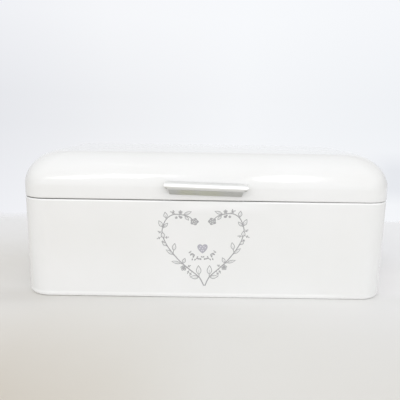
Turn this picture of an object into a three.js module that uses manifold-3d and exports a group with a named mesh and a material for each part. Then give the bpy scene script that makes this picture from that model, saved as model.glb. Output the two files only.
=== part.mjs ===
// A bread box: a sheet-steel tub on low feet, closed by a domed lid that is hinged at the back.
// Millimetres, +Z up, the front towards -Y, standing on z = 0.
import * as THREE from "three";
import { mergeVertices } from "three/addons/utils/BufferGeometryUtils.js";
import Module from "manifold-3d";

const wasm = await Module();
wasm.setup();

// Driving sizes of the whole box
const shellWidth = 425;
const shellDepth = 230;
const totalHeight = 170; // table to the crown of the lid
const seamHeight = 116.2; // table to the line where the lid meets the tub
const cornerRadius = 31; // of the walls, seen from above
const sheet = 0.6;
const seatGap = 0.3; // between pieces that are seated on each other
const overrun = 1; // of every cutter past what it cuts

// The rolled edge that the tub and the lid share
const rimRadius = 1.8;

// Tub wall
const standHeight = 0.5; // clear height under the shell
const bottomBend = 2.4;
const flangeReach = 11; // from the wall's face to the end of its turned-in flange
const lockSeamWidth = 8; // the fold at the back that joins the ends of the sheet
const lockSeamProud = 0.8;
const ventRadius = 2.5;
const ventPitch = 9;
const ventSpread = 62; // from the middle of the back to each cluster
const ventDrop = 34; // from the rim down to each cluster's middle
const ventsRoundTheMiddle = 6;

// Base panel
const panelFlange = 7; // height of its upturned edge above the bend
const swageInset = 30; // from the wall's face to the step round the raised middle
const swageRun = 4;
const swageRise = 1.6;
const swageCorner = 40;

// Feet
const footRadius = 7;
const footChamfer = 0.6;
const footTaper = 0.8;

// Lid
const skirtHeight = 13; // upright part above the seam
const shoulderReach = 38; // from the skirt's face to the top
const topCornerRadius = 25;
const crownRise = 2;

// Handle, with its heights counted from the seam
const handleLength = 91;
const handleReach = 15;
const handleTop = 21;
const handleFoot = 6.5;
const handleWeb = 2.2; // thickness at the foot
const lipBottom = 13.4;
const lipRound = 3.7; // over the lip's nose
const lipUnderRound = 3.7; // and under it
const lipFlat = 1.2; // between the nose and the hollow
const hollowShares = [0.25, 0.72]; // where the hollow under the lip is pulled to
const endCutTop = 16; // above this the handle has its full length
const endCut = 5.5; // how much shorter each end is at the foot

// Handle screws, from inside the lid
const screwSpacing = 58;
const screwHeight = 13.5; // above the seam
const screwRadius = 2;
const screwGrip = 5; // how far a screw goes into the handle
const screwHeadRadius = 3.5;
const screwHeadHeight = 2.4;
const recessLength = 4.2;
const recessWidth = 1;
const recessDepth = 1.2;
const washerRadius = 4;
const washerThickness = 0.8;

// Hinges
const hingeSpread = 120; // from the middle of the back to each hinge
const hingeWidth = 34;
const leafHeight = 16; // from the pin to the end of a leaf
const leafThickness = 1.2;
const leafCorner = 3;
const pinRadius = 1.5;
const pinClearance = 0.08;
const pinDome = 0.7;
const knuckleWall = 1.2;
const knuckleStand = 0.4; // from the shell's back face to the knuckles
const knuckleGap = 0.3;
const heelReach = 5.4; // from the pin to the end of the stop heel
const heelThickness = 1.3;
const openAngle = THREE.MathUtils.degToRad(100);
const rivetRadius = 1.6;
const rivetHeadRadius = 3;
const rivetHeadHeight = 1.3;
const rivetTailRadius = 2.5;
const rivetTailHeight = 0.9;
const rivetSideMargin = 7; // from a leaf's side edge to its rivets
const rivetEndMargin = 5.5; // from a leaf's far end to its rivets

// How finely round shapes are divided
const cornerSteps = 8;
const bendSteps = 4;
const curlSteps = 6;
const shoulderSteps = 8;
const crownSteps = 3;
const turnedSteps = 20;
const smallTurnedSteps = 12;
const profileSteps = 5;

const quarterTurn = Math.PI / 2;
const front = -shellDepth / 2;
const back = shellDepth / 2;
const knuckleRadius = pinRadius + pinClearance + knuckleWall;
const pinOffset = knuckleStand + knuckleRadius; // from the shell's back face to the pin's middle
const knuckleLength = hingeWidth / 3;

const enamel = () => new THREE.MeshStandardMaterial({ color: 0xf1f1ee, roughness: 0.18, metalness: 0 });
const satinMetal = () => new THREE.MeshStandardMaterial({ color: 0xd2d3cf, roughness: 0.28, metalness: 1 });
const platedSteel = () => new THREE.MeshStandardMaterial({ color: 0xb4b6b8, roughness: 0.35, metalness: 1 });
const rubber = () => new THREE.MeshStandardMaterial({ color: 0xd9d9d5, roughness: 0.8, metalness: 0 });

// One level line round the box, anticlockwise from above: inset from the wall's face, at height z.
function ring(inset, z, radius = cornerRadius - inset) {
  const points = [];
  const signs = [[1, 1], [-1, 1], [-1, -1], [1, -1]];
  signs.forEach(([sideX, sideY], corner) => {
    const middleX = sideX * (shellWidth / 2 - inset - radius);
    const middleY = sideY * (shellDepth / 2 - inset - radius);
    for (let step = 0; step <= cornerSteps; step++) {
      const angle = (corner + step / cornerSteps) * quarterTurn;
      points.push([middleX + radius * Math.cos(angle), middleY + radius * Math.sin(angle), z]);
    }
  });
  return points;
}

// A surface through rings of equal counts. A closed one joins the last ring to the first,
// an open one is filled at both ends. Upward faces run outwards from ring to ring.
function loft(rings, closed) {
  const count = rings[0].length;
  const positions = rings.flat(2);
  const index = [];
  const strips = closed ? rings.length : rings.length - 1;
  for (let level = 0; level < strips; level++) {
    const inner = level * count;
    const outer = ((level + 1) % rings.length) * count;
    for (let i = 0; i < count; i++) {
      const next = (i + 1) % count;
      index.push(inner + i, outer + i, outer + next, inner + i, outer + next, inner + next);
    }
  }
  if (!closed) {
    const last = (rings.length - 1) * count;
    for (const [start, turned] of [[0, false], [last, true]]) {
      const middle = positions.length / 3;
      positions.push(0, 0, rings[start / count][0][2]);
      for (let i = 0; i < count; i++) {
        const next = (i + 1) % count;
        if (turned) index.push(middle, start + next, start + i);
        else index.push(middle, start + i, start + next);
      }
    }
  }
  const geometry = new THREE.BufferGeometry();
  geometry.setAttribute("position", new THREE.Float32BufferAttribute(positions, 3));
  geometry.setIndex(index);
  return geometry;
}

// three.js geometry to a solid that can be joined and cut, and back.
function solid(geometry) {
  const bare = geometry.index ? geometry.clone() : mergeVertices(geometry);
  bare.deleteAttribute("normal");
  bare.deleteAttribute("uv");
  const merged = mergeVertices(bare);
  return new wasm.Manifold(
    new wasm.Mesh({
      numProp: 3,
      vertProperties: merged.attributes.position.array,
      triVerts: new Uint32Array(merged.index.array),
    }),
  );
}

function geometryOf(body) {
  const mesh = body.getMesh();
  const geometry = new THREE.BufferGeometry();
  geometry.setAttribute("position", new THREE.BufferAttribute(mesh.vertProperties, 3));
  geometry.setIndex(new THREE.BufferAttribute(mesh.triVerts, 1));
  return geometry;
}

function part(name, geometry, material) {
  geometry.computeVertexNormals();
  const mesh = new THREE.Mesh(geometry, material);
  mesh.name = name;
  return mesh;
}

function block(lowX, highX, lowY, highY, lowZ, highZ) {
  const geometry = new THREE.BoxGeometry(highX - lowX, highY - lowY, highZ - lowZ);
  return geometry.translate((lowX + highX) / 2, (lowY + highY) / 2, (lowZ + highZ) / 2);
}

// Cylinders along X and Y, from one end to the other.
function rodAlongX(radius, lowX, highX, y, z, steps) {
  const geometry = new THREE.CylinderGeometry(radius, radius, highX - lowX, steps).rotateZ(quarterTurn);
  return geometry.translate((lowX + highX) / 2, y, z);
}

function rodAlongY(radius, lowY, highY, x, z, steps) {
  const geometry = new THREE.CylinderGeometry(radius, radius, highY - lowY, steps);
  return geometry.translate(x, (lowY + highY) / 2, z);
}

// A solid turned about Y from a profile of [radius, y] pairs.
function turned(profile, steps) {
  return new THREE.LatheGeometry(profile.map(([radius, y]) => new THREE.Vector2(radius, y)), steps);
}

// A quarter bend of the sheet at the bottom of the tub, from the level part to the upright one.
function bend(radius) {
  return Array.from({ length: bendSteps + 1 }, (_, step) => {
    const angle = (step / bendSteps) * quarterTurn;
    const inset = bottomBend - radius * Math.sin(angle);
    return ring(inset, standHeight + bottomBend - radius * Math.cos(angle));
  });
}

// Three quarters of a turn of rolled edge, from the wall inwards. side is 1 where the edge
// rolls over the top, as on the tub, and -1 where it rolls under, as on the lid.
function curl(radius, middleZ, side) {
  return Array.from({ length: curlSteps + 1 }, (_, step) => {
    const angle = Math.PI - side * (step / curlSteps) * 3 * quarterTurn;
    return ring(rimRadius + radius * Math.cos(angle), middleZ + radius * Math.sin(angle));
  });
}

function bodyWall() {
  const rimMiddle = seamHeight - seatGap / 2 - rimRadius;
  const section = [
    ring(flangeReach, standHeight + sheet),
    ...bend(bottomBend - sheet),
    ...curl(rimRadius - sheet, rimMiddle, 1),
    ...curl(rimRadius, rimMiddle, 1).reverse(),
    ...bend(bottomBend).reverse(),
    ring(flangeReach, standHeight),
  ];
  const lockSeam = block(
    -lockSeamWidth / 2, lockSeamWidth / 2,
    back - sheet / 2, back + lockSeamProud,
    standHeight + bottomBend, rimMiddle - rimRadius,
  );
  let wall = solid(loft(section, true)).add(solid(lockSeam));
  for (const side of [-1, 1]) {
    for (let vent = 0; vent <= ventsRoundTheMiddle; vent++) {
      const angle = (vent / ventsRoundTheMiddle) * 4 * quarterTurn;
      const reach = vent === 0 ? 0 : ventPitch;
      const x = side * ventSpread + reach * Math.cos(angle);
      const z = seamHeight - ventDrop + reach * Math.sin(angle);
      const hole = rodAlongY(ventRadius, back - sheet - overrun, back + overrun, x, z, smallTurnedSteps);
      wall = wall.subtract(solid(hole));
    }
    for (const hole of rivetHoles(side, -1)) wall = wall.subtract(hole);
  }
  return part("body_wall", geometryOf(wall), enamel());
}

function basePanel() {
  const inner = bottomBend - 2 * sheet - seatGap;
  const underside = standHeight + sheet + seatGap;
  const flangeTop = standHeight + bottomBend + panelFlange;
  const section = [
    ring(swageInset + swageRun, underside + sheet + swageRise, swageCorner - swageRun),
    ring(swageInset, underside + sheet, swageCorner),
    ...bend(inner),
    ring(2 * sheet + seatGap, flangeTop),
    ring(sheet + seatGap, flangeTop),
    ...bend(inner + sheet).reverse(),
    ring(swageInset, underside, swageCorner),
    ring(swageInset + swageRun, underside + swageRise, swageCorner - swageRun),
  ];
  return part("base_panel", loft(section, false), enamel());
}

function foot(x, y) {
  const height = standHeight + sheet + seatGap;
  const geometry = turned(
    [
      [0, 0],
      [footRadius - footChamfer, 0],
      [footRadius, footChamfer],
      [footRadius - footTaper, height],
      [0, height],
    ],
    turnedSteps,
  );
  return geometry.rotateX(quarterTurn).translate(x, y, 0);
}

// How far the lid's face lies inside the skirt at a height above the seam.
function lidInset(up) {
  const climb = Math.max(0, up - skirtHeight) / shoulderRise();
  return shoulderReach * (1 - Math.sqrt(Math.max(0, 1 - climb * climb)));
}

function shoulderRise() {
  return totalHeight - seamHeight - skirtHeight - crownRise;
}

// The lid's shoulder and crown as level rings from the middle of the top down to the skirt, moved
// in by a thickness of sheet for the inner face.
function dome(thickness) {
  const rise = shoulderRise();
  const rings = [];
  for (let step = shoulderSteps; step >= 0; step--) {
    const angle = (step / shoulderSteps) * quarterTurn;
    const normal = new THREE.Vector2(Math.cos(angle) / shoulderReach, Math.sin(angle) / rise).normalize();
    const inwards = 1 - Math.cos(angle);
    const radius = cornerRadius + (topCornerRadius - cornerRadius) * inwards - thickness * normal.x;
    const z = seamHeight + skirtHeight + rise * Math.sin(angle) - thickness * normal.y;
    rings.push(ring(shoulderReach * inwards + thickness * normal.x, z, radius));
  }
  const edge = rings[0];
  for (let step = crownSteps - 1; step > 0; step--) {
    const share = step / crownSteps;
    const z = edge[0][2] + crownRise * (1 - share * share) ** 2;
    rings.unshift(edge.map(([x, y]) => [x * share, y * share, z]));
  }
  const centre = edge.map(() => [0, 0, edge[0][2] + crownRise]);
  return [centre, ...rings];
}

function lidShell() {
  const rimMiddle = seamHeight + seatGap / 2 + rimRadius;
  const section = [
    ...dome(0),
    ...curl(rimRadius, rimMiddle, -1),
    ...curl(rimRadius - sheet, rimMiddle, -1).reverse(),
    ...dome(sheet).reverse(),
  ];
  let shell = solid(loft(section, false));
  for (const x of screwPlaces()) {
    const radius = screwRadius + seatGap;
    const hole = rodAlongY(radius, front - overrun, front + sheet + overrun, x, seamHeight + screwHeight,
      smallTurnedSteps);
    shell = shell.subtract(solid(hole));
  }
  for (const side of [-1, 1])
    for (const hole of rivetHoles(side, 1)) shell = shell.subtract(hole);
  return part("lid_shell", geometryOf(shell), enamel());
}

function screwPlaces() {
  return [-screwSpacing / 2, screwSpacing / 2];
}

// The handle's section: x is how far out of the lid's face, y the height above the seam.
function handleProfile() {
  const shape = new THREE.Shape();
  const pulled = [
    handleWeb + hollowShares[0] * (handleReach - handleWeb),
    handleFoot + hollowShares[1] * (lipBottom - handleFoot),
  ];
  shape.moveTo(seatGap, handleFoot);
  shape.lineTo(handleWeb, handleFoot);
  shape.quadraticCurveTo(...pulled, handleReach - lipUnderRound - lipFlat, lipBottom);
  shape.lineTo(handleReach - lipUnderRound, lipBottom);
  shape.absarc(handleReach - lipUnderRound, lipBottom + lipUnderRound, lipUnderRound, -quarterTurn, 0, false);
  shape.lineTo(handleReach, handleTop - lipRound);
  shape.absarc(handleReach - lipRound, handleTop - lipRound, lipRound, 0, quarterTurn, false);
  for (let step = 0; step <= profileSteps; step++) {
    const up = handleTop + (skirtHeight - handleTop) * (step / profileSteps);
    shape.lineTo(seatGap - lidInset(up), up);
  }
  return shape;
}

function handle() {
  const geometry = new THREE.ExtrudeGeometry(handleProfile(), {
    depth: handleLength,
    bevelEnabled: false,
    curveSegments: profileSteps,
  });
  // The section's x turns towards the front, its y upwards, and its depth along the box.
  const turn = new THREE.Matrix4().makeBasis(
    new THREE.Vector3(0, -1, 0),
    new THREE.Vector3(0, 0, 1),
    new THREE.Vector3(-1, 0, 0),
  );
  geometry.applyMatrix4(turn).translate(handleLength / 2, front, seamHeight);
  let bar = solid(geometry);
  for (const side of [-1, 1]) bar = bar.subtract(solid(endCutter(side)));
  for (const x of screwPlaces()) {
    const radius = screwRadius + seatGap;
    const hole = rodAlongY(radius, front - screwGrip - seatGap, front + overrun, x, seamHeight + screwHeight,
      smallTurnedSteps);
    bar = bar.subtract(solid(hole));
  }
  return part("handle", geometryOf(bar), satinMetal());
}

// The wedge that slants one end of the handle inwards towards its foot.
function endCutter(side) {
  const slant = endCut / (endCutTop - handleFoot);
  const low = handleFoot - overrun;
  const shape = new THREE.Shape();
  const half = handleLength / 2;
  shape.moveTo(half, endCutTop);
  shape.lineTo(half - slant * (endCutTop - low), low);
  shape.lineTo(half + overrun, low);
  shape.lineTo(half + overrun, endCutTop);
  const depth = handleReach + 2 * overrun;
  const geometry = new THREE.ExtrudeGeometry(shape, { depth, bevelEnabled: false });
  geometry.rotateX(quarterTurn).translate(0, front + overrun, seamHeight);
  return side > 0 ? geometry : geometry.rotateZ(2 * quarterTurn).translate(0, 2 * front + 2 * overrun - depth, 0);
}

// A washer's and a screw's place along Y: where the lid's inner face bulges in most beside it.
function washerSeat() {
  return front + sheet + lidInset(screwHeight + washerRadius) + seatGap;
}

function washer(x) {
  const bore = screwRadius + seatGap;
  const geometry = turned(
    [
      [bore, 0],
      [washerRadius, 0],
      [washerRadius, washerThickness],
      [bore, washerThickness],
      [bore, 0],
    ],
    turnedSteps,
  );
  return geometry.translate(x, washerSeat(), seamHeight + screwHeight);
}

function screw(x) {
  const seat = washerSeat() + washerThickness;
  const geometry = turned(
    [
      [0, front - screwGrip],
      [screwRadius, front - screwGrip],
      [screwRadius, seat],
      [screwHeadRadius, seat],
      [screwHeadRadius, seat + screwHeadHeight / 2],
      [(screwHeadRadius + recessLength / 2) / 2, seat + screwHeadHeight],
      [0, seat + screwHeadHeight],
    ],
    turnedSteps,
  );
  const top = seat + screwHeadHeight;
  const long = recessLength / 2;
  const wide = recessWidth / 2;
  const recess = solid(block(-long, long, top - recessDepth, top + overrun, -wide, wide)).add(
    solid(block(-wide, wide, top - recessDepth, top + overrun, -long, long)),
  );
  return geometryOf(solid(geometry).subtract(recess)).translate(x, 0, seamHeight + screwHeight);
}

// Rivet places on one leaf. side picks the left or right hinge, up is 1 on the lid and -1 on the tub.
function rivetPlaces(side, up) {
  const reach = hingeWidth / 2 - rivetSideMargin;
  const z = seamHeight + up * (leafHeight - rivetEndMargin);
  return [
    { where: "inner", x: side * (hingeSpread - reach), z },
    { where: "outer", x: side * (hingeSpread + reach), z },
  ];
}

function rivetHoles(side, up) {
  return rivetPlaces(side, up).map(({ x, z }) => {
    const high = back + leafThickness + overrun;
    return solid(rodAlongY(rivetRadius + seatGap, back - sheet - overrun, high, x, z, smallTurnedSteps));
  });
}

function rivet(x, z) {
  const seat = back + leafThickness;
  const tail = back - sheet;
  const geometry = turned(
    [
      [0, tail - rivetTailHeight],
      [rivetTailRadius, tail - rivetTailHeight],
      [rivetTailRadius, tail],
      [rivetRadius, tail],
      [rivetRadius, seat],
      [rivetHeadRadius, seat],
      [rivetHeadRadius * Math.SQRT1_2, seat + rivetHeadHeight * Math.SQRT1_2],
      [0, seat + rivetHeadHeight],
    ],
    smallTurnedSteps,
  );
  return geometry.translate(x, 0, z);
}

// A leaf lies flat on the shell and ends in knuckles round the pin. up is 1 on the lid, whose leaf
// has the middle knuckle and the heel, and -1 on the tub, whose leaf has the two outer knuckles.
function leaf(side, up) {
  const middle = side * hingeSpread;
  const low = middle - hingeWidth / 2;
  const high = middle + hingeWidth / 2;
  const pinY = back + pinOffset;
  const plateShape = new THREE.Shape();
  plateShape.moveTo(-hingeWidth / 2, 0);
  plateShape.lineTo(hingeWidth / 2, 0);
  plateShape.lineTo(hingeWidth / 2, leafHeight - leafCorner);
  plateShape.absarc(hingeWidth / 2 - leafCorner, leafHeight - leafCorner, leafCorner, 0, quarterTurn, false);
  plateShape.absarc(leafCorner - hingeWidth / 2, leafHeight - leafCorner, leafCorner, quarterTurn,
    2 * quarterTurn, false);
  const plate = new THREE.ExtrudeGeometry(plateShape, {
    depth: leafThickness,
    bevelEnabled: false,
    curveSegments: profileSteps,
  });
  plate.rotateX(up * quarterTurn).translate(middle, up > 0 ? back + leafThickness : back, seamHeight);
  let body = solid(plate).add(solid(rodAlongX(knuckleRadius, low, high, pinY, seamHeight, turnedSteps)));

  // What the other leaf's knuckles need.
  const clear = knuckleRadius + seatGap;
  const innerLow = middle - knuckleLength / 2;
  const innerHigh = middle + knuckleLength / 2;
  const gap = knuckleGap / 2;
  const spans = up > 0
    ? [[low - overrun, innerLow + gap], [innerHigh - gap, high + overrun]]
    : [[innerLow - gap, innerHigh + gap]];
  for (const [from, to] of spans) {
    const notch = block(from, to, back - overrun, pinY + clear, seamHeight - clear, seamHeight + clear);
    body = body.subtract(solid(notch));
  }

  if (up > 0) {
    // The heel is drawn as it lies against the tub's leaf when the lid is fully open, and turned back.
    const heelY = leafThickness + seatGap - pinOffset;
    const heel = block(innerLow + gap, innerHigh - gap, heelY, heelY + heelThickness, -heelReach, -pinRadius);
    heel.rotateX(openAngle).translate(0, pinY, seamHeight);
    body = body.add(solid(heel));
  }
  const bore = rodAlongX(pinRadius + pinClearance, low - overrun, high + overrun, pinY, seamHeight, turnedSteps);
  body = body.subtract(solid(bore));
  for (const hole of rivetHoles(side, up)) body = body.subtract(hole);
  return geometryOf(body);
}

function pin(side) {
  const half = hingeWidth / 2;
  const domed = pinRadius * Math.SQRT1_2;
  const profile = [
    [0, -half - pinDome],
    [domed, -half - pinDome * Math.SQRT1_2],
    [pinRadius, -half],
    [pinRadius, half],
    [domed, half + pinDome * Math.SQRT1_2],
    [0, half + pinDome],
  ];
  const geometry = turned(profile, turnedSteps).rotateZ(-quarterTurn);
  return geometry.translate(side * hingeSpread, back + pinOffset, seamHeight);
}

const tub = new THREE.Group();
const lid = new THREE.Group();
tub.add(bodyWall(), basePanel());
lid.add(lidShell(), handle());

const sides = { left: -1, right: 1 };
for (const [name, side] of Object.entries(sides)) {
  const x = side * (screwSpacing / 2);
  lid.add(part(`handle_washer_${name}`, washer(x), platedSteel()));
  lid.add(part(`handle_screw_${name}`, screw(x), platedSteel()));

  tub.add(part(`hinge_${name}_body_leaf`, leaf(side, -1), platedSteel()));
  tub.add(part(`hinge_${name}_pin`, pin(side), platedSteel()));
  lid.add(part(`hinge_${name}_lid_leaf`, leaf(side, 1), platedSteel()));
  for (const { where, x, z } of rivetPlaces(side, -1))
    tub.add(part(`hinge_${name}_body_rivet_${where}`, rivet(x, z), platedSteel()));
  for (const { where, x, z } of rivetPlaces(side, 1))
    lid.add(part(`hinge_${name}_lid_rivet_${where}`, rivet(x, z), platedSteel()));

  for (const [row, end] of Object.entries({ front: -1, back: 1 })) {
    const footX = side * (shellWidth / 2 - cornerRadius);
    const footY = end * (shellDepth / 2 - cornerRadius);
    tub.add(part(`foot_${row}_${name}`, foot(footX, footY), rubber()));
  }
}

// The origin is under the middle of the whole box, its handle and hinges counted in.
const breadBox = new THREE.Group();
breadBox.add(tub, lid);
const extent = new THREE.Box3().setFromObject(breadBox);
tub.position.y = -(extent.min.y + extent.max.y) / 2;
lid.position.y = tub.position.y;

export default breadBox;
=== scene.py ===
# A bread box: glossy off-white sheet steel with a domed lid, a satin ledge handle and a printed
# wreath of leaves. Metres, +Z up, the front towards -Y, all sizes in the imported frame.
from math import cos, pi, radians, sin, sqrt, tau

import bmesh
import bpy
from mathutils import Matrix, Vector

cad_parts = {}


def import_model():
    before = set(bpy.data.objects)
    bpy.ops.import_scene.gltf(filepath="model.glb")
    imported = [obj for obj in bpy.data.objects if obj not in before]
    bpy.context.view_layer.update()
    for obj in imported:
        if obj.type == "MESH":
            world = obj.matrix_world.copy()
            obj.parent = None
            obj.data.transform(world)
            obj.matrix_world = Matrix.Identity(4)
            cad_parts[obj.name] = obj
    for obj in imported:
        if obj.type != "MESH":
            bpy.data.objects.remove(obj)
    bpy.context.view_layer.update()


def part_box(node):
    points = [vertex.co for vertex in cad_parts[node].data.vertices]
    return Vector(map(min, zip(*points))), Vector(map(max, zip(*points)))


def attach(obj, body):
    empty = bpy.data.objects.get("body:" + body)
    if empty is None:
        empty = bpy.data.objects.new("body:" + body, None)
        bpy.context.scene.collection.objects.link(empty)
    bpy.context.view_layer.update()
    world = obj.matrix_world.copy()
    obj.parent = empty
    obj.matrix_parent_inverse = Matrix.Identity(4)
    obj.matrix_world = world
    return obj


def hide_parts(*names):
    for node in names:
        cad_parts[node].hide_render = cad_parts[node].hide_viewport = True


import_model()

mm = 0.001
QUARTER = pi / 2

# The shell, read from the frame
shell_low, shell_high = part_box("lid_shell")
wall_low, wall_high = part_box("body_wall")
WIDTH = shell_high.x - shell_low.x
DEPTH = shell_high.y - shell_low.y
FRONT = shell_low.y
BACK = shell_high.y
MIDDLE_Y = (FRONT + BACK) / 2
TOP = shell_high.z
STAND = wall_low.z
SEAM = (wall_high.z + shell_low.z) / 2
SEAM_GAP = shell_low.z - wall_high.z

# Sheet metal
SHEET = 0.6 * mm
CORNER_RADIUS = 31 * mm
RIM_RADIUS = 1.8 * mm
BOTTOM_BEND = 2.4 * mm
FLANGE_REACH = 11 * mm
FOOT_BEND = 3.2 * mm
BEAD_PROUD = 0.35 * mm
BEAD_RUN = 3.5 * mm
SEAT_GAP = 0.3 * mm
SUPPORT = 1.5 * mm  # from a bend or a curl to the first line of the flat sheet
FLAT_SHARES = (0.004, 0.02, 0.2, 0.4, 0.6, 0.8, 0.98, 0.996)

# Lid
SKIRT_HEIGHT = 13 * mm
SHOULDER_REACH = 38 * mm
TOP_CORNER_RADIUS = 25 * mm
CROWN_RISE = 2 * mm
SHOULDER_RISE = TOP - SEAM - SKIRT_HEIGHT - CROWN_RISE

# Base panel
SWAGE_INSET = 30 * mm
SWAGE_RUN = 4 * mm
SWAGE_RISE = 1.6 * mm
SWAGE_CORNER = 40 * mm
PANEL_FLANGE = 7 * mm

# Back of the tub
LOCK_SEAM_WIDTH = 8 * mm
LOCK_SEAM_PROUD = 0.8 * mm
LOCK_SEAM_EDGE = 0.7  # share of that where its edges turn
VENT_RADIUS = 2.5 * mm
VENT_FLARE = 0.35 * mm
VENT_PITCH = 9 * mm
VENT_SPREAD = 62 * mm
VENT_DROP = 34 * mm
VENTS_AROUND = 6

# Feet
PAD_SHARES = (0.55, 0.6, 0.9, 0.87)  # of the radius: the hollow's top and mouth, the upper edge
PAD_HOLLOW = 0.3 * mm
PAD_EDGE = 0.8 * mm
PAD_UPPER_EDGE = 0.2 * mm
PAD_GIVE = 0.42 * mm  # under the box's weight

# Handle, its heights counted from the seam
HANDLE_REACH = 15 * mm
HANDLE_TOP = 21 * mm
HANDLE_FOOT = 6.5 * mm
HANDLE_WEB = 2.2 * mm
LIP_BOTTOM = 13.4 * mm
LIP_ROUND = 3.7 * mm
LIP_UNDER_ROUND = 3.7 * mm
LIP_FLAT = 1.2 * mm
HOLLOW_SHARES = (0.25, 0.72)
END_CUT_TOP = 16 * mm
END_CUT_BREAK = 13.2 * mm
END_CUT = 5.5 * mm
END_CUT_SHARE = 0.72  # of it above the break
HANDLE_SHIFT = -1.2 * mm
HANDLE_TILT = radians(1.4)
HANDLE_BEVEL = 0.3 * mm

# Small round pieces
SCREW_RADIUS = 2 * mm
SCREW_SHARES = (0.75, 0.82, 0.9)  # of the radius: the tip, the thread's root and the neck
THREAD_PITCH = 0.7 * mm
PAN_FLAT = 0.35  # share of the head's radius
PAN_SIDE = 0.3  # share of the head's height
PAN_EDGE = (0.1 * mm, 0.15 * mm)
RECESS_LENGTH = 4.2 * mm
RECESS_WIDTH = 1 * mm
RECESS_DEPTH = 1.2 * mm
WASHER_EDGE = 0.15 * mm
RIVET_RADIUS = 1.6 * mm
RIVET_TAIL_RADIUS = 2.5 * mm
RIVET_HEAD_HEIGHT = 1.3 * mm
RIVET_EDGE = 0.2 * mm
PIN_RADIUS = 1.5 * mm
PIN_DOME = 0.7 * mm
PIN_CLEARANCE = 0.08 * mm

# Hinge leaves
KNUCKLE_WALL = 1.2 * mm
KNUCKLE_GAP = 0.3 * mm
LEAF_THICKNESS = 1.2 * mm
LEAF_CORNER = 3 * mm
LEAF_BEVEL = 0.12 * mm
HEEL_REACH = 5.4 * mm
HEEL_THICKNESS = 1.3 * mm
OPEN_ANGLE = radians(100)

# How finely shapes are divided
CORNER_STEPS = 24
BEND_STEPS = 8
BEAD_STEPS = 6
CURL_STEPS = 18
SHOULDER_STEPS = 28
CROWN_STEPS = 12
TURNED_STEPS = 48
PROFILE_STEPS = 10
SMOOTH_UNDER = radians(32)


# Mesh helpers

def in_scene(name, data):
    thing = bpy.data.objects.new(name, data)
    bpy.context.scene.collection.objects.link(thing)
    return thing


def to_object(name, bm, outward=True):
    if outward:
        bmesh.ops.recalc_face_normals(bm, faces=bm.faces)
    mesh = bpy.data.meshes.new(name)
    bm.to_mesh(mesh)
    bm.free()
    return in_scene(name, mesh)


def quarter(steps=PROFILE_STEPS, start=0.0):
    """The angles of a quarter turn in equal steps."""
    return [start + step / steps * QUARTER for step in range(steps + 1)]


def ease(share):
    """Falls from 1 to 0, level at both ends."""
    return 0.5 + 0.5 * cos(pi * share)


def ring(inset, z, radius=None):
    """One level line round the box, anticlockwise from above, inset from the wall's face."""
    radius = CORNER_RADIUS - inset if radius is None else radius
    arcs = []
    for corner, (side_x, side_y) in enumerate(((1, 1), (-1, 1), (-1, -1), (1, -1))):
        middle_x = side_x * (WIDTH / 2 - inset - radius)
        middle_y = MIDDLE_Y + side_y * (DEPTH / 2 - inset - radius)
        angles = [(corner + step / CORNER_STEPS) * QUARTER for step in range(CORNER_STEPS + 1)]
        arcs.append([Vector((middle_x + radius * cos(angle), middle_y + radius * sin(angle), z))
                     for angle in angles])
    points = []
    for arc, following in zip(arcs, arcs[1:] + arcs[:1]):
        points += arc
        points += [arc[-1].lerp(following[0], share) for share in FLAT_SHARES]
    return points


def skin(bm, low, high):
    """Faces all the way round, between two closed rows of vertices."""
    for i in range(len(low)):
        j = (i + 1) % len(low)
        bm.faces.new((low[i], low[j], high[j], high[i]))


def loft(name, rings, closed=False):
    """A surface through rings of equal counts: the last joins the first, or both ends are filled."""
    bm = bmesh.new()
    rows = [[bm.verts.new(point) for point in points] for points in rings]
    for inner, outer in zip(rows, rows[1:] + rows[:1] if closed else rows[1:]):
        skin(bm, inner, outer)
    if not closed:
        for row in (rows[0], rows[-1]):
            middle = bm.verts.new((0, MIDDLE_Y, row[0].co.z))
            for i in range(len(row)):
                bm.faces.new((middle, row[i], row[(i + 1) % len(row)]))
    return to_object(name, bm)


def prism(name, *outlines):
    """A solid between two flat outlines with as many points."""
    bm = bmesh.new()
    rows = [[bm.verts.new(point) for point in outline] for outline in outlines]
    for row in rows:
        bm.faces.new(row)
    skin(bm, *rows)
    return to_object(name, bm)


def bend(radius):
    """The quarter bend at the bottom of the tub, from the level sheet to the upright one."""
    return [ring(BOTTOM_BEND - radius * sin(angle), STAND + BOTTOM_BEND - radius * cos(angle))
            for angle in quarter(BEND_STEPS)]


def foot_bead():
    """The outside of the wall's foot from the bend upwards, where the sheet swells out a little."""
    rings = [ring(FOOT_BEND - BEAD_PROUD - FOOT_BEND * sin(angle), STAND + FOOT_BEND - FOOT_BEND * cos(angle))
             for angle in quarter(BEND_STEPS)]
    for step in range(1, BEAD_STEPS + 1):
        share = step / BEAD_STEPS
        rings.append(ring(-BEAD_PROUD * ease(share), STAND + FOOT_BEND + BEAD_RUN * share))
    return rings


def curl(radius, middle_z, side):
    """Three quarters of a turn of rolled edge; side is 1 over the top (tub), -1 under (lid)."""
    rings = []
    for step in range(CURL_STEPS + 1):
        angle = pi - side * step / CURL_STEPS * 3 * QUARTER
        rings.append(ring(RIM_RADIUS + radius * cos(angle), middle_z + radius * sin(angle)))
    return rings


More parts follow.
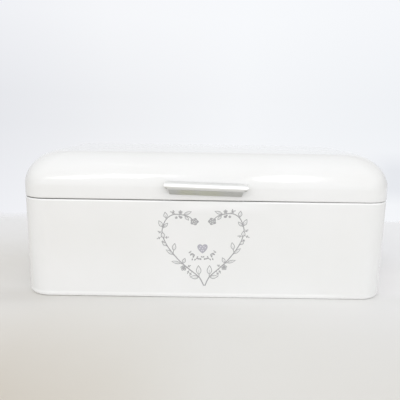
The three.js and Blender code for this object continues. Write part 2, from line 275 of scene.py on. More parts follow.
def turned(name, profile, place, axis="Y"):
    """A solid turned from (radius, along) pairs about the X, Y or Z axis through place."""
    bm = bmesh.new()
    rows = []
    for radius, along in profile:
        row = []
        for step in range(TURNED_STEPS if radius else 1):
            angle = step / TURNED_STEPS * tau
            a, b = radius * cos(angle), radius * sin(angle)
            local = {"X": (along, a, b), "Y": (a, along, b), "Z": (a, b, along)}[axis]
            row.append(bm.verts.new(Vector(place) + Vector(local)))
        rows.append(row)
    ends_on_axis = len(rows[0]) == 1
    for low, high in zip(rows, rows[1:] if ends_on_axis else rows[1:] + rows[:1]):
        for i in range(TURNED_STEPS):
            j = (i + 1) % TURNED_STEPS
            corners = [low[i % len(low)], low[j % len(low)], high[j % len(high)], high[i % len(high)]]
            bm.faces.new(list(dict.fromkeys(corners)))
    return to_object(name, bm)


def block(name, low, high):
    bm = bmesh.new()
    bmesh.ops.create_cube(bm, size=1)
    low, high = Vector(low), Vector(high)
    for vert in bm.verts:
        vert.co = Vector(l + (c + 0.5) * (h - l) for c, l, h in zip(vert.co, low, high))
    return to_object(name, bm)


def combine(piece, tool, operation):
    """Joins tool to piece or cuts it away, and removes tool."""
    modifier = piece.modifiers.new("combine", "BOOLEAN")
    modifier.operation = operation
    modifier.object = tool
    modifier.solver = "EXACT"
    graph = bpy.context.evaluated_depsgraph_get()
    mesh = bpy.data.meshes.new_from_object(piece.evaluated_get(graph))
    piece.modifiers.remove(modifier)
    piece.data = mesh
    bpy.data.objects.remove(tool)


def cut(piece, tools):
    """Cuts several separate solids away at once."""
    bm = bmesh.new()
    for tool in tools:
        bm.from_mesh(tool.data)
        bpy.data.objects.remove(tool)
    combine(piece, to_object("drills", bm), "DIFFERENCE")


def rod(radius, low, high, place, axis="Y"):
    """A plain cylinder, to drill with."""
    return turned("drill", [(0, low), (radius, low), (radius, high), (0, high)], place, axis)


def middle_of(node):
    low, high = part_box(node)
    return (low + high) / 2


def drill(node, radius, low, high):
    """A rod along Y through the middle of a node."""
    place = middle_of(node)
    return rod(radius, low, high, (place.x, 0, place.z))


def finish_piece(piece, material, body, node, bevel=0.0):
    """Soft edges, smooth shading, the material, and the ride on its CAD body."""
    mesh = piece.data
    mesh.materials.clear()
    mesh.materials.append(material)
    if bevel:
        rounding = piece.modifiers.new("edges", "BEVEL")
        rounding.width = bevel
        rounding.segments = 2
        rounding.limit_method = "ANGLE"
        rounding.angle_limit = SMOOTH_UNDER
    mesh.shade_smooth()
    mesh.set_sharp_from_angle(angle=SMOOTH_UNDER)
    piece.modifiers.new("normals", "WEIGHTED_NORMAL").keep_sharp = True
    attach(piece, body)
    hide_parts(node)


# Materials

class Shading:
    """The nodes of a material or of the world; most methods add a node and give its output."""

    def __init__(self, holder, surface="BSDF_PRINCIPLED", coordinates="Object"):
        holder.use_nodes = True
        self.holder = holder
        self.tree = holder.node_tree
        self.surface = next(node for node in self.tree.nodes if node.type == surface)
        self.place = self.add("TexCoord", {}, coordinates)

    def feed(self, node, inputs):
        """Links each named input of a node to an output, or sets it to a constant."""
        for name, value in inputs.items():
            if isinstance(value, bpy.types.NodeSocket):
                self.tree.links.new(value, node.inputs[name])
            else:
                node.inputs[name].default_value = value

    def add(self, kind, inputs, output):
        node = self.tree.nodes.new(f"ShaderNode{kind}")
        self.feed(node, inputs)
        return node.outputs[output]

    def finish(self, inputs):
        self.feed(self.surface, inputs)
        return self.holder

    def axes(self, vector):
        node = self.tree.nodes.new("ShaderNodeSeparateXYZ")
        self.feed(node, {"Vector": vector})
        return node.outputs

    def noise(self, scale, detail, stretch=None):
        place = self.place
        if stretch:
            place = self.add("Mapping", {"Vector": place, "Scale": stretch}, "Vector")
        return self.add("TexNoise", {"Vector": place, "Scale": scale, "Detail": detail}, "Fac")

    def spread(self, value, low, high, start=0.3, end=0.7):
        """Maps a value's range, unless given a texture's middle one, to low and high."""
        return self.add("MapRange", {
            "Value": value, "From Min": start, "From Max": end, "To Min": low, "To Max": high,
        }, "Result")

    def between(self, value, start, end):
        """0 where the value is at its start, 1 at its end."""
        return self.spread(value, 0, 1, start, end)

    def mix(self, share, *colors):
        node = self.tree.nodes.new("ShaderNodeMix")
        node.data_type = "RGBA"
        self.feed(node, {"Factor": share})
        for name, color in zip("AB", colors):
            socket = next(s for s in node.inputs if s.name == name and s.type == "RGBA")
            if isinstance(color, bpy.types.NodeSocket):
                self.tree.links.new(color, socket)
            else:
                socket.default_value = (*color, 1)
        return next(s for s in node.outputs if s.type == "RGBA")

    def ramp(self, value, *stops):
        """Between stops of (place, colour or grey), places from 0 to 1."""
        node = self.tree.nodes.new("ShaderNodeValToRGB")
        self.feed(node, {"Fac": value})
        bar = node.color_ramp
        while len(bar.elements) < len(stops):
            bar.elements.new(0.5)
        for element, (place, color) in zip(bar.elements, stops):
            element.position = place
            element.color = (*(color if isinstance(color, tuple) else [color] * 3), 1)
        return node.outputs["Color"]

    def bump(self, height, depth, below=None):
        inputs = {"Strength": 1.0, "Distance": depth, "Height": height}
        if below:
            inputs["Normal"] = below
        return self.add("Bump", inputs, "Normal")


def shader(name, color, roughness, metallic=0.0):
    shading = Shading(bpy.data.materials.new(name))
    shading.finish({"Base Color": (*color, 1), "Roughness": roughness, "Metallic": metallic})
    return shading


def enamel_material():
    """Thick glossy off-white coat: slow waves of the sheet, orange peel, a hint of mottling, painted shade in
    the joint and painted light at the tub's rim, foot and below the handle.
    """
    # thick is the white of painted light, used at the rim and on the front below the handle.
    white, warm, thick = (0.83, 0.83, 0.825), (0.80, 0.80, 0.787), (0.90, 0.90, 0.895)
    s = shader("enamel", white, 0.14)
    x, y, z = s.axes(s.place)
    across = s.between(x, -WIDTH / 2, WIDTH / 2)
    # Painted shade deep in the joint between lid and tub: dark on the left, paler to the right, dark again
    # round the right end.
    near_joint = s.between(z, SEAM - 1.5 * mm, SEAM + 1.5 * mm)
    joint_shade_band = s.ramp(near_joint, (0.28, 0), (0.42, 1), (0.58, 1), (0.72, 0))
    joint_shade_tones = s.ramp(
        across,
        (0.60, (0.24, 0.24, 0.23)), (0.69, (0.42, 0.42, 0.41)), (0.77, (0.62, 0.62, 0.61)),
        (0.86, (0.80, 0.80, 0.79)), (0.98, (0.88, 0.88, 0.87)), (0.997, (0.26, 0.26, 0.25)),
    )
    # Painted highlights where the tub's edges turn, at the rim and at the foot, and painted light on the
    # foot's down-turned bend; less of both at the foot's right end.
    rim_highlight = s.ramp(s.between(z, SEAM - 3 * mm, SEAM), (0.20, 0), (0.45, 1), (0.72, 1), (0.80, 0))
    foot_highlight = s.ramp(s.between(z, STAND, STAND + 10 * mm), (0.32, 0), (0.44, 1), (0.54, 1), (0.66, 0))
    bend_light = s.spread(z, 1, 0, STAND + 1.2 * mm, STAND + 3.2 * mm)
    corner = s.between(across, 0.83, 0.89)
    coat = s.mix(s.spread(s.noise(9, 4), 0, 1), white, warm)
    coat = s.mix(rim_highlight, coat, thick)
    coat = s.mix(foot_highlight, coat, s.mix(corner, (0.857, 0.857, 0.847), (0.79, 0.79, 0.78)))
    coat = s.mix(bend_light, coat, s.mix(corner, (0.94, 0.94, 0.93), (0.87, 0.87, 0.86)))
    # Painted light on the front below the handle, where the handle's shade would fall, whiter than the rest.
    lit_below_handle = s.mix(s.ramp(across, (0.38, 0), (0.46, 1), (0.58, 1), (0.68, 0)), coat, thick)
    lit_below_handle = s.mix(s.spread(y, 1, 0, FRONT + 5 * mm, FRONT + 25 * mm), coat, lit_below_handle)
    below_joint = s.between(z, SEAM - 20 * mm, SEAM)
    coat = s.mix(s.ramp(below_joint, (0.25, 0), (0.70, 1), (0.97, 1), (1, 0)), coat, lit_below_handle)
    waves = s.bump(s.noise(10, 1), 0.5 * mm)
    return s.finish({
        "Base Color": s.mix(joint_shade_band, coat, joint_shade_tones),
        "Roughness": s.spread(s.noise(30, 1), 0.12, 0.17),
        "Normal": s.bump(s.noise(260, 1), 0.0008 * mm, waves),
        "IOR": 1.5,
        "Coat Weight": 0.5,
        "Coat Roughness": 0.04,
    })


def handle_material():
    """Satin metal with fine drawing lines along the bar, painted light on top and painted shade below the
    lip, at its ends and along its top edge, and a painted olive reflection.
    """
    s = shader("satin_metal", (0.94, 0.94, 0.93), 0.32, 1.0)
    upright = s.add("Mapping", {"Vector": s.place, "Rotation": (0, -HANDLE_TILT, 0)}, "Vector")
    up = s.between(s.axes(upright)["Z"], SEAM + HANDLE_FOOT, SEAM + HANDLE_TOP)
    # Painted light on the lip's round top, painted shade on its lower front and along its top edge.
    lit_and_shaded_stops = (
        (0.455, (0.70, 0.70, 0.685)), (0.60, (0.79, 0.79, 0.78)), (0.72, (0.96, 0.96, 0.95)),
        (0.985, (0.96, 0.96, 0.95)), (0.995, (0.78, 0.78, 0.77)),
    )
    # Below the lip, painted shade; the olive copy adds a painted reflection of the surroundings.
    grey = s.ramp(up, (0, (0.53, 0.53, 0.51)), (0.40, (0.56, 0.56, 0.54)), *lit_and_shaded_stops)
    olive_reflection = s.ramp(up, (0, (0.53, 0.535, 0.445)), (0.40, (0.56, 0.565, 0.475)), *lit_and_shaded_stops)
    along = s.between(s.axes(s.place)["X"], *(HANDLE_SHIFT + corner.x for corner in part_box("handle")))
    # Where along the bar the painted olive reflection shows.
    tint = s.ramp(
        along, (0.13, 0), (0.22, 0.95), (0.33, 0.9), (0.39, 0.45), (0.46, 0.85), (0.62, 0.85), (0.75, 0),
    )
    # Painted shade at the bar's ends, below its ridge.
    ends = s.ramp(along, (0, 1), (0.02, 0.8), (0.045, 0), (0.95, 0), (0.975, 0.8), (1, 1))
    dirt_and_shade = s.ramp(up, (0.40, (0.36, 0.36, 0.35)), (0.60, (0.34, 0.34, 0.33)), (0.68, (0.90, 0.90, 0.89)))
    tones = s.mix(ends, s.mix(tint, grey, olive_reflection), dirt_and_shade)
    lines = s.noise(900, 3, (0.02, 1, 1))
    return s.finish({
        "Base Color": s.mix(s.spread(s.noise(45, 3), 0, 0.12), tones, (0.60, 0.60, 0.58)),
        "Roughness": s.spread(lines, 0.28, 0.36),
        "Normal": s.bump(lines, 0.0007 * mm),
    })


def plated_material():
    """Zinc-plated steel: slightly clouded grey with fine scratches."""
    light, dark = (0.62, 0.63, 0.64), (0.42, 0.43, 0.45)
    s = shader("plated_steel", light, 0.34, 1.0)
    cloud = s.noise(160, 4)
    return s.finish({
        "Base Color": s.mix(s.spread(cloud, 0, 1), light, dark),
        "Roughness": s.spread(cloud, 0.28, 0.44),
        "Normal": s.bump(s.noise(700, 4, (1, 1, 0.08)), 0.01 * mm),
    })


def rubber_material():
    """Pale rubber, matt and finely grained, a little dirty."""
    pale, dirt_and_shade = (0.55, 0.55, 0.53), (0.40, 0.395, 0.375)
    s = shader("foot_rubber", pale, 0.75)
    return s.finish({
        "Base Color": s.mix(s.spread(s.noise(220, 4), 0, 1), pale, dirt_and_shade),
        "Normal": s.bump(s.noise(1800, 2), 0.03 * mm),
    })


def ink_material(name, color, thin):
    """Printed ink, a little uneven in its cover, glazed like the coat below it."""
    s = shader(name, color, 0.2)
    cover = s.spread(s.noise(900, 3), 0, 0.55)
    return s.finish({"Base Color": s.mix(cover, color, thin), "Coat Weight": 0.4, "Coat Roughness": 0.06})


# Tub

def vent_places():
    places = []
    for side in (-1, 1):
        for vent in range(VENTS_AROUND + 1):
            angle = vent / VENTS_AROUND * tau
            reach = VENT_PITCH if vent else 0
            x = side * VENT_SPREAD + reach * cos(angle)
            places.append((x, SEAM - VENT_DROP + reach * sin(angle)))
    return places


def vent_drill(x, z):
    """A drill that widens towards both faces, so that the coat looks drawn into the hole."""
    profile = [
        (0, BACK - SHEET - VENT_FLARE),
        (VENT_RADIUS + 2 * VENT_FLARE, BACK - SHEET - VENT_FLARE),
        (VENT_RADIUS, BACK - SHEET + VENT_FLARE / 2),
        (VENT_RADIUS, BACK - VENT_FLARE / 2),
        (VENT_RADIUS + 2 * VENT_FLARE, BACK + VENT_FLARE),
        (0, BACK + VENT_FLARE),
    ]
    return turned("drill", profile, (x, 0, z))


def rivet_nodes(part):
    return [f"hinge_{side}_{part}_rivet_{where}"
            for side in ("left", "right") for where in ("inner", "outer")]


def rivet_drills(part):
    return [drill(node, RIVET_RADIUS + SEAT_GAP, BACK - 2 * SHEET, BACK + 3 * LEAF_THICKNESS)
            for node in rivet_nodes(part)]


def body_wall(material):
    rim_middle = SEAM - SEAM_GAP / 2 - RIM_RADIUS
    section = [
        ring(FLANGE_REACH, STAND + SHEET),
        *bend(BOTTOM_BEND - SHEET),
        ring(SHEET, STAND + BOTTOM_BEND + SUPPORT),
        ring(SHEET, rim_middle - SUPPORT),
        *curl(RIM_RADIUS - SHEET, rim_middle, 1),
        *reversed(curl(RIM_RADIUS, rim_middle, 1)),
        ring(0, rim_middle - SUPPORT),
        *reversed(foot_bead()),
        ring(FLANGE_REACH, STAND),
    ]
    wall = loft("body_wall_sheet", section, closed=True)
    combine(wall, lock_seam(rim_middle - RIM_RADIUS), "UNION")
    cut(wall, [vent_drill(x, z) for x, z in vent_places()] + rivet_drills("body"))
    finish_piece(wall, material, "tub", "body_wall")


def lock_seam(top):
    """The folded seam down the middle of the back, its edges rounded by the coat."""
    half, proud = LOCK_SEAM_WIDTH / 2, LOCK_SEAM_PROUD
    outline = [(-half - proud, 0), (-half, proud * LOCK_SEAM_EDGE), (-half + proud, proud)]
    outline += [(-x, out) for x, out in reversed(outline)]
    outline = [(half + proud, -SHEET / 2), (-half - proud, -SHEET / 2)] + outline
    return prism("lock_seam", *([(x, BACK + out, z) for x, out in outline]
                                for z in (STAND + BOTTOM_BEND, top)))


def base_panel(material):
    inner = BOTTOM_BEND - 2 * SHEET - SEAT_GAP
    underside = STAND + SHEET + SEAT_GAP
    flange_top = STAND + BOTTOM_BEND + PANEL_FLANGE
    lip = SHEET / 2

    def face(z, bend_radius):
        rings = []
        for step in range(BEND_STEPS + 1):
            share = step / BEND_STEPS
            run = SWAGE_RUN * (1 - share)
            rings.append(ring(SWAGE_INSET + run, z + SWAGE_RISE * ease(share), SWAGE_CORNER - run))
        return rings + bend(bend_radius)

    section = [
        *face(underside + SHEET, inner),
        ring(2 * SHEET + SEAT_GAP, flange_top - lip),
        ring(1.5 * SHEET + SEAT_GAP, flange_top),
        ring(SHEET + SEAT_GAP, flange_top - lip),
        *reversed(face(underside, inner + SHEET)),
    ]
    finish_piece(loft("base_panel_sheet", section), material, "tub", "base_panel")


def foot(node, material):
    low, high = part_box(node)
    radius = (high.x - low.x) / 2
    height = high.z - low.z
    hollow, mouth, edge, top = (share * radius for share in PAD_SHARES)
    profile = [(0, PAD_HOLLOW), (hollow, PAD_HOLLOW), (mouth, 0)]
    for angle in quarter():
        profile.append((radius - PAD_EDGE + PAD_EDGE * sin(angle), PAD_EDGE - PAD_EDGE * cos(angle)))
    profile += [(edge, height - PAD_UPPER_EDGE), (top, height), (0, height)]
    place = ((low.x + high.x) / 2, (low.y + high.y) / 2, low.z)
    finish_piece(turned(f"{node}_pad", profile, place, "Z"), material, "tub", node)


# Lid

def lid_inset(up):
    """How far the lid's face lies inside the skirt at a height above the seam."""
    climb = max(0, up - SKIRT_HEIGHT) / SHOULDER_RISE
    return SHOULDER_REACH * (1 - sqrt(max(0, 1 - climb * climb)))


def dome(thickness):
    """The shoulder and crown as level rings from the middle outwards, moved in by a thickness."""
    rings = []
    for angle in reversed(quarter(SHOULDER_STEPS)):
        normal = Vector((cos(angle) / SHOULDER_REACH, sin(angle) / SHOULDER_RISE)).normalized()
        inwards = 1 - cos(angle)
        radius = CORNER_RADIUS + (TOP_CORNER_RADIUS - CORNER_RADIUS) * inwards - thickness * normal.x
        z = SEAM + SKIRT_HEIGHT + SHOULDER_RISE * sin(angle) - thickness * normal.y
        rings.append(ring(SHOULDER_REACH * inwards + thickness * normal.x, z, radius))
    crown = []
    for step in range(1, CROWN_STEPS):
        share = step / CROWN_STEPS
        lift = CROWN_RISE * (1 - share * share) ** 2
        crown.append([Vector((p.x * share, MIDDLE_Y + (p.y - MIDDLE_Y) * share, p.z + lift))
                      for p in rings[0]])
    return crown + rings


def lid_shell(material):
    rim_middle = SEAM + SEAM_GAP / 2 + RIM_RADIUS
    section = [
        *dome(0),
        ring(0, rim_middle + SUPPORT),
        *curl(RIM_RADIUS, rim_middle, -1),
        *reversed(curl(RIM_RADIUS - SHEET, rim_middle, -1)),
        ring(SHEET, rim_middle + SUPPORT),
        *reversed(dome(SHEET)),
    ]
    shell = loft("lid_shell_sheet", section)
    drills = rivet_drills("lid")
    for node in ("handle_screw_left", "handle_screw_right"):
        drills.append(drill(node, SCREW_RADIUS + SEAT_GAP, FRONT - SHEET, FRONT + 3 * SHEET))
    cut(shell, drills)
    finish_piece(shell, material, "lid", "lid_shell")


def handle_profile():
    """(out, up) points round the handle's section, from the foot outwards, over the lip and back."""
    points = [Vector((SEAT_GAP, HANDLE_FOOT)), Vector((HANDLE_WEB, HANDLE_FOOT))]
    pulled = Vector((
        HANDLE_WEB + HOLLOW_SHARES[0] * (HANDLE_REACH - HANDLE_WEB),
        HANDLE_FOOT + HOLLOW_SHARES[1] * (LIP_BOTTOM - HANDLE_FOOT),
    ))
    end = Vector((HANDLE_REACH - LIP_UNDER_ROUND - LIP_FLAT, LIP_BOTTOM))
    for step in range(1, PROFILE_STEPS + 1):
        t = step / PROFILE_STEPS
        points.append((1 - t) ** 2 * points[1] + 2 * t * (1 - t) * pulled + t * t * end)
    for middle_up, radius, start in (
        (LIP_BOTTOM + LIP_UNDER_ROUND, LIP_UNDER_ROUND, -QUARTER),
        (HANDLE_TOP - LIP_ROUND, LIP_ROUND, 0),
    ):
        middle = Vector((HANDLE_REACH - radius, middle_up))
        points += [middle + radius * Vector((cos(angle), sin(angle))) for angle in quarter(start=start)]
    for step in range(PROFILE_STEPS + 1):
        up = HANDLE_TOP + (SKIRT_HEIGHT - HANDLE_TOP) * step / PROFILE_STEPS
        points.append(Vector((SEAT_GAP - lid_inset(up), up)))
    return points


def end_inset(up):
    """How far the handle's ends are cut inwards at a height above the seam."""
    if up > END_CUT_BREAK:
        return END_CUT * END_CUT_SHARE * max(0, END_CUT_TOP - up) / (END_CUT_TOP - END_CUT_BREAK)
    below = (END_CUT_BREAK - up) / (END_CUT_BREAK - HANDLE_FOOT)
    return END_CUT * (END_CUT_SHARE + (1 - END_CUT_SHARE) * below)


def handle(material):
    """The section drawn along the box, its two ends cut inwards below the ridge.

    As in the photograph it was screwed on a little to the left and a little askew.
    """
    low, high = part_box("handle")
    half = (high.x - low.x) / 2
    middle_x = (high.x + low.x) / 2
    levels = (0, END_CUT_BREAK, END_CUT_TOP, HANDLE_TOP)
    profile = handle_profile()
    points = []
    for point, following in zip(profile, profile[1:] + profile[:1]):
        points.append(point)
        climb = following.y - point.y
        crossed = [level for level in levels[1:-1] if (point.y - level) * (following.y - level) < 0]
        for level in sorted(crossed, reverse=climb < 0):
            points.append(Vector((point.lerp(following, (level - point.y) / climb).x, level)))
    bm = bmesh.new()
    ends = []
    for side in (-1, 1):
        row = [bm.verts.new((middle_x + side * (half - end_inset(up)), FRONT - out, SEAM + up))
               for out, up in points]
        ends.append(row)
        for lowest, highest in zip(levels, levels[1:]):
            bm.faces.new([vert for vert, (_, up) in zip(row, points) if lowest <= up <= highest])
    skin(bm, *ends)
    bar = to_object("handle_bar", bm)
    middle = Vector((0, 0, SEAM + (HANDLE_FOOT + HANDLE_TOP) / 2))
    askew = Matrix.Translation(middle) @ Matrix.Rotation(HANDLE_TILT, 4, "Y") @ Matrix.Translation(-middle)
    bar.data.transform(Matrix.Translation((HANDLE_SHIFT, 0, 0)) @ askew)
    drills = []
    for node in ("handle_screw_left", "handle_screw_right"):
        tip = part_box(node)[0].y - SEAT_GAP
        drills.append(drill(node, SCREW_RADIUS + SEAT_GAP / 2, tip, FRONT + SHEET))
    cut(bar, drills)
    finish_piece(bar, material, "lid", "handle", HANDLE_BEVEL)


def washer(node, material):
    low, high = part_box(node)
    outer = (high.x - low.x) / 2
    soft = WASHER_EDGE
    thick = high.y - low.y
    bore = SCREW_RADIUS + SEAT_GAP
    profile = [
        (bore, soft), (bore + soft, 0), (outer - soft, 0), (outer, soft),
        (outer, thick - soft), (outer - soft, thick), (bore + soft, thick), (bore, thick - soft),
    ]
    place = ((low.x + high.x) / 2, low.y, (low.z + high.z) / 2)
    finish_piece(turned(f"{node}_disc", profile, place), material, "lid", node)


def screw(node, material):
    """A pan-head screw with a cross recess, its thread cut as rings along the shank."""
    low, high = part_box(node)
    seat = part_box(node.replace("screw", "washer"))[1].y
    head = (high.x - low.x) / 2
    tall = high.y - seat
    tip, root, neck = (share * SCREW_RADIUS for share in SCREW_SHARES)
    profile = [(0, low.y), (tip, low.y)]
    along = low.y + THREAD_PITCH / 2
    while along < seat - THREAD_PITCH:
        profile += [(SCREW_RADIUS, along), (root, along + THREAD_PITCH / 2)]
        along += THREAD_PITCH
    profile += [(neck, seat), (head - PAN_EDGE[0], seat), (head, seat + PAN_EDGE[1])]
    for angle in quarter():
        profile.append((head * (PAN_FLAT + (1 - PAN_FLAT) * cos(angle)),
                        seat + tall * (PAN_SIDE + (1 - PAN_SIDE) * sin(angle))))
    profile[-1] = (0, profile[-1][1])
    place = middle_of(node)
    body = turned(f"{node}_pan", profile, (place.x, 0, place.z))
    long, wide = RECESS_LENGTH / 2, RECESS_WIDTH / 2
    for x, z in ((long, wide), (wide, long)):
        cutter = block("recess", (place.x - x, high.y - RECESS_DEPTH, place.z - z),
                       (place.x + x, high.y + SHEET, place.z + z))
        combine(body, cutter, "DIFFERENCE")
    finish_piece(body, material, "lid", node)


# Hinges

def rivet(node, body, material):
    low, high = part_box(node)
    head = (high.x - low.x) / 2
    seat = BACK + LEAF_THICKNESS
    tail = BACK - SHEET
    profile = [
        (0, low.y), (RIVET_TAIL_RADIUS - RIVET_EDGE, low.y), (RIVET_TAIL_RADIUS, low.y + RIVET_EDGE),
        (RIVET_TAIL_RADIUS, tail), (RIVET_RADIUS, tail), (RIVET_RADIUS, seat),
        (head - RIVET_EDGE / 2, seat), (head, seat + RIVET_EDGE / 2),
    ]
    profile += [(head * cos(angle), seat + RIVET_HEAD_HEIGHT * sin(angle)) for angle in quarter()[1:]]
    profile[-1] = (0, profile[-1][1])
    place = middle_of(node)
    piece = turned(f"{node}_set", profile, (place.x, 0, place.z))
    finish_piece(piece, material, body, node)


def pin(node, material):
    low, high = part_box(node)
    half = (high.x - low.x) / 2
    profile = [(PIN_RADIUS * sin(angle), -half + PIN_DOME * (1 - cos(angle))) for angle in quarter()]
    profile += [(radius, -along) for radius, along in reversed(profile)]
    piece = turned(f"{node}_rod", profile, middle_of(node), "X")
    finish_piece(piece, material, "tub", node)


def leaf(node, body, up, material):
    """A hinge leaf: a flat plate rolled into knuckles; the lid's leaf also has the stop heel."""
    low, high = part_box(node)
    pin_place = middle_of(node.rsplit("_", 2)[0] + "_pin")
    width = high.x - low.x
    knuckle = PIN_RADIUS + PIN_CLEARANCE + KNUCKLE_WALL
    reach = high.z - SEAM if up > 0 else SEAM - low.z
    outline = [Vector((-width / 2, 0)), Vector((width / 2, 0))]
    for middle, start in ((width / 2 - LEAF_CORNER, 0), (LEAF_CORNER - width / 2, QUARTER)):
        outline += [Vector((middle + LEAF_CORNER * cos(angle),
                            reach - LEAF_CORNER + LEAF_CORNER * sin(angle)))
                    for angle in quarter(start=start)]
    plate = prism(f"{node}_strap", *([(pin_place.x + x, y, SEAM + up * z) for x, z in outline]
                                     for y in (BACK, BACK + LEAF_THICKNESS)))
    axis_place = (0, pin_place.y, pin_place.z)
    combine(plate, rod(knuckle, low.x, high.x, axis_place, "X"), "UNION")
    clear = knuckle + SEAT_GAP
    gap = KNUCKLE_GAP / 2
    # The body's leaf holds the pin at both ends and the lid's in the middle third.
    inner_low = pin_place.x - width / 6
    inner_high = pin_place.x + width / 6
    spans = [(inner_low - gap, inner_high + gap)]
    if up > 0:
        spans = [(low.x - clear, inner_low + gap), (inner_high - gap, high.x + clear)]
    for from_x, to_x in spans:
        notch = block("notch", (from_x, BACK - clear, SEAM - clear), (to_x, high.y + clear, SEAM + clear))
        combine(plate, notch, "DIFFERENCE")
    if up > 0:
        heel_y = BACK + LEAF_THICKNESS + SEAT_GAP - pin_place.y
        heel = block("heel", (inner_low + gap, heel_y, -HEEL_REACH),
                     (inner_high - gap, heel_y + HEEL_THICKNESS, -PIN_RADIUS))
        heel.data.transform(Matrix.Translation((0, pin_place.y, SEAM)) @ Matrix.Rotation(OPEN_ANGLE, 4, "X"))
        combine(plate, heel, "UNION")
    drills = [rod(PIN_RADIUS + PIN_CLEARANCE, low.x - clear, high.x + clear, axis_place, "X")]
    for where in ("inner", "outer"):
        drills.append(drill(node.replace("leaf", f"rivet_{where}"),
                            RIVET_RADIUS + SEAT_GAP, BACK - SHEET, BACK + 2 * LEAF_THICKNESS))
    cut(plate, drills)
    finish_piece(plate, material, body, node, LEAF_BEVEL)


# The printed wreath: flat shapes on the front of the tub, in millimetres from its middle at the seam

PRINT_X = -0.9
PRINT_TILT = 1.75  # degrees, as the transfer sits a little askew on the tub
PRINT_RISE = 1.5  # lifted by this, but less in the run next to the tip
PRINT_RISE_RUN = 8
RIGHT_SHARE = 0.975  # its right half is a little narrower than its left
PRINT_LIFT = 0.05 * mm
PRINT_THICKNESS = 0.035 * mm
LAYER_STEP = 0.0002 * mm
STROKE = 1.02
TIP = Vector((0, -100.5))
INK, TINT, MAUVE, PALE_MAUVE = range(4)
LEAF_STEPS = 10
DISC_STEPS = 14
SCALLOP_STEPS = 8
SCALLOP_DEPTH = 0.12  # of the radius
BRANCH = (
    (-10.2, -25.0), (-16.6, -19.3), (-25.5, -16.9), (-34.4, -16.8), (-42.0, -21.9), (-46.3, -31.4),
    (-46.8, -40.0), (-41.4, -53.7), (-29.4, -69.9), (-18.3, -80.6), (-6.4, -91.0), (-0.5, -100.6),
)
LEAVES = (
    # foot, tip, width, share of the length that is stalk
    (-23.0, -17.2, -12.8, -13.4, 3.8, 0.1), (-21.4, -18.0, -16.2, -23.8, 3.5, 0.1),
    (-42.0, -21.9, -43.2, -13.2, 4.8, 0.14), (-46.2, -31.9, -50.6, -22.9, 4.7, 0.12),
    (-45.8, -32.0, -39.9, -26.0, 3.7, 0.1), (-45.8, -44.6, -46.9, -36.4, 4.8, 0.1),
    (-41.8, -53.6, -47.6, -48.2, 4.2, 0.1), (-35.2, -61.9, -33.0, -49.8, 4.9, 0.24),
    (-34.0, -64.6, -43.6, -57.4, 3.8, 0.12), (-25.4, -74.9, -37.8, -71.5, 3.6, 0.12),
    (-25.0, -75.6, -21.5, -67.8, 4.2, 0.14), (-5.2, -91.8, -17.0, -90.8, 4.6, 0.1),
    (-5.9, -91.2, -6.6, -76.8, 6.2, 0.2),
)
FLOWERS = (
    # middle, radius
    (-25.7, -14.2, 2.3), (-30.6, -20.2, 1.6), (-23.6, -79.9, 3.5), (-46.8, -48.2, 1.4),
)
ROSE_RADIUS = 3.9
BERRIES = (
    # middle, radius
    (-25.4, -20.0, 1.45), (-27.0, -18.6, 0.9),
)
SPRIGS = (
    # foot, tip
    (-33.4, -16.6, -33.8, -12.6), (-30.0, -16.6, -36.6, -13.4), (-46.9, -38.8, -51.2, -36.0),
    (-47.0, -42.0, -52.6, -44.4), (-46.2, -43.8, -40.4, -42.8), (-19.9, -79.3, -16.4, -77.4),
    (-17.0, -82.0, -19.0, -86.2), (-14.6, -84.6, -16.4, -88.6),
)
INNER_X = -1.5  # the heart and the garland hang a little left of the wreath's middle
HEART_MIDDLE = (0, -56.4)
HEART = (
    (0, 3.0), (1.3, 4.1), (3.0, 4.5), (4.8, 3.9), (5.8, 2.2), (5.7, 0.2), (4.9, -1.5), (3.7, -3.2),
    (2.1, -4.8), (0, -6.4),
)
HEART_SPOTS = ((-1.9, 1.8), (1.6, 2.0), (-3.2, -0.2), (3.2, 0.4), (-0.9, -3.0), (1.0, -2.9), (0.1, -0.4))
GARLAND_STEMS = (
    ((-1.4, -68.4), (-3.4, -68.9), (-5.6, -68.6), (-8.4, -69.9)),
    ((-10.4, -67.6), (-11.2, -65.4), (-13.0, -63.0), (-14.4, -60.4)),
)
GARLAND_LEAFLETS = (
    # middle, direction in degrees, half width
    (-1.0, -66.8, 140, 0.62), (-2.6, -69.6, -30, 0.72), (-4.4, -69.3, 15, 0.62), (-5.9, -66.9, 35, 0.55),
    (-6.3, -68.6, 10, 0.68), (-8.8, -70.1, 55, 0.66), (-11.9, -69.8, 70, 0.66), (-10.5, -66.4, 65, 0.78),
    (-9.8, -64.5, 110, 0.68), (-11.6, -63.2, 165, 0.72), (-13.3, -64.0, 35, 0.76), (-14.9, -61.4, 30, 0.62),
    (-13.4, -60.0, 35, 0.42),
)


def turn2(vector, degrees):
    c, s = cos(radians(degrees)), sin(radians(degrees))
    return Vector((c * vector.x - s * vector.y, s * vector.x + c * vector.y))


def heading(degrees):
    return turn2(Vector((1, 0)), degrees)


def smooth_line(points, steps=8):
    """A smooth curve through all the points."""
    points = [Vector(p) for p in points]
    points = [2 * points[0] - points[1], *points, 2 * points[-1] - points[-2]]
    line = []
    for a, b, c, d in zip(points, points[1:], points[2:], points[3:]):
        for step in range(steps):
            t = step / steps
            line.append(0.5 * (2 * b + (c - a) * t + (2 * a - 5 * b + 4 * c - d) * t * t
                               + (3 * b - a - 3 * c + d) * t ** 3))
    return line + [points[-2]]


